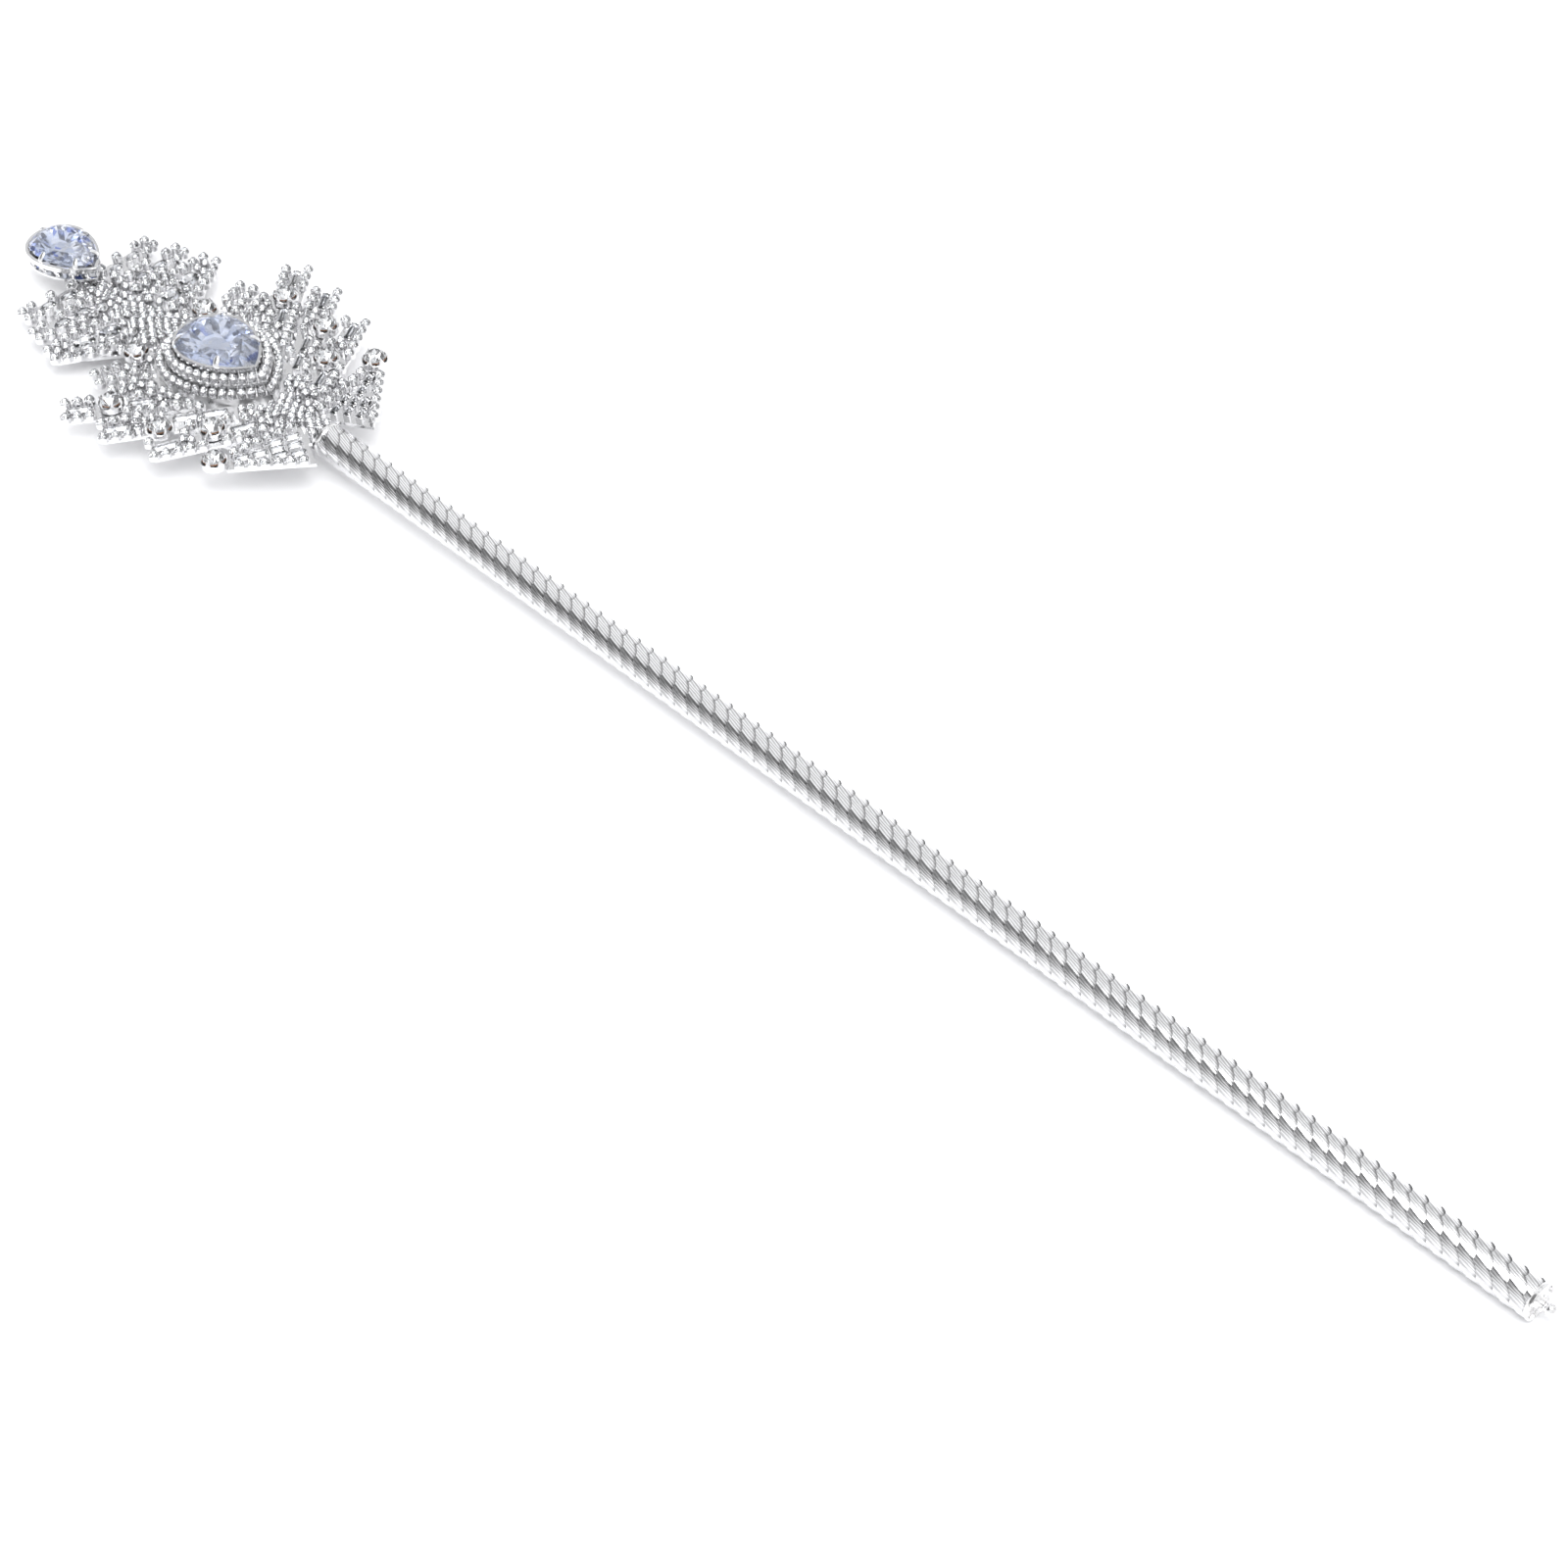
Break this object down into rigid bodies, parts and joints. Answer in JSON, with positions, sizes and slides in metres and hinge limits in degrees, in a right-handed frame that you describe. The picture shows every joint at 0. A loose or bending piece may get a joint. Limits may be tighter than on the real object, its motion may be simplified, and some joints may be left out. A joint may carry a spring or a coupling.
{
  "type": "ceremonial rhinestone wand",
  "caption": "Hand-held ceremonial wand: long engine-cut tube with a ball end and a fan-shaped head of cup-chain feathers and pale blue pear stones.",
  "frame": {"origin": "on the tube's axis at the middle of the tube's length", "axes": "+Y along the tube from the ball end to the head, +X to the right seen from the front, +Z out of the head's front"},
  "size_m": [0.0798, 0.4758, 0.0186],
  "materials": {
    "tube_silver": "engine-cut bright silver plate",
    "plate_silver": "bright silver plate on stamped brass",
    "chain_silver": "bright silver plate on cups and prongs",
    "clear_crystal": "foiled clear crystal, cut and polished",
    "blue_crystal": "foiled pale blue crystal, cut and polished"
  },
  "bodies": {
    "root": {"handle_tube": "tube_silver", "end_plug": "plate_silver", "ball_finial": "chain_silver", "head_stem": "plate_silver", "spine_bar": "plate_silver", "lower_back_plate": "plate_silver", "upper_back_plate": "plate_silver", "feather_tray_left_1": "plate_silver", "feather_tray_left_2": "plate_silver", "feather_tray_left_3": "plate_silver", "feather_tray_left_4": "plate_silver", "feather_tray_left_5": "plate_silver", "feather_tray_left_6": "plate_silver", "feather_tray_right_1": "plate_silver", "feather_tray_right_2": "plate_silver", "feather_tray_right_3": "plate_silver", "feather_tray_right_4": "plate_silver", "feather_tray_right_5": "plate_silver", "feather_tray_right_6": "plate_silver", "feather_chain_left_1": "chain_silver", "feather_chain_left_2": "chain_silver", "feather_chain_left_3": "chain_silver", "feather_chain_left_4": "chain_silver", "feather_chain_left_5": "chain_silver", "feather_chain_left_6": "chain_silver", "feather_chain_right_1": "chain_silver", "feather_chain_right_2": "chain_silver", "feather_chain_right_3": "chain_silver", "feather_chain_right_4": "chain_silver", "feather_chain_right_5": "chain_silver", "feather_chain_right_6": "chain_silver", "feather_crystals_left": "clear_crystal", "feather_crystals_right": "clear_crystal", "baguettes_left": "clear_crystal", "baguettes_right": "clear_crystal", "round_settings_left": "chain_silver", "round_settings_right": "chain_silver", "round_stones_left": "clear_crystal", "round_stones_right": "clear_crystal", "lobe_trays_left": "plate_silver", "lobe_trays_right": "plate_silver", "lobe_chains_left": "chain_silver", "lobe_chains_right": "chain_silver", "lobe_crystals_left": "clear_crystal", "lobe_crystals_right": "clear_crystal", "oval_stones_left": "clear_crystal", "oval_stones_right": "clear_crystal", "halo_base": "plate_silver", "halo_chain": "chain_silver", "halo_crystals": "clear_crystal", "centre_setting": "plate_silver", "centre_stone": "blue_crystal", "pave_cups": "chain_silver", "pave_crystals": "clear_crystal", "tip_post": "plate_silver", "tip_setting": "plate_silver", "tip_stone": "blue_crystal"}
  },
  "joints": []
}
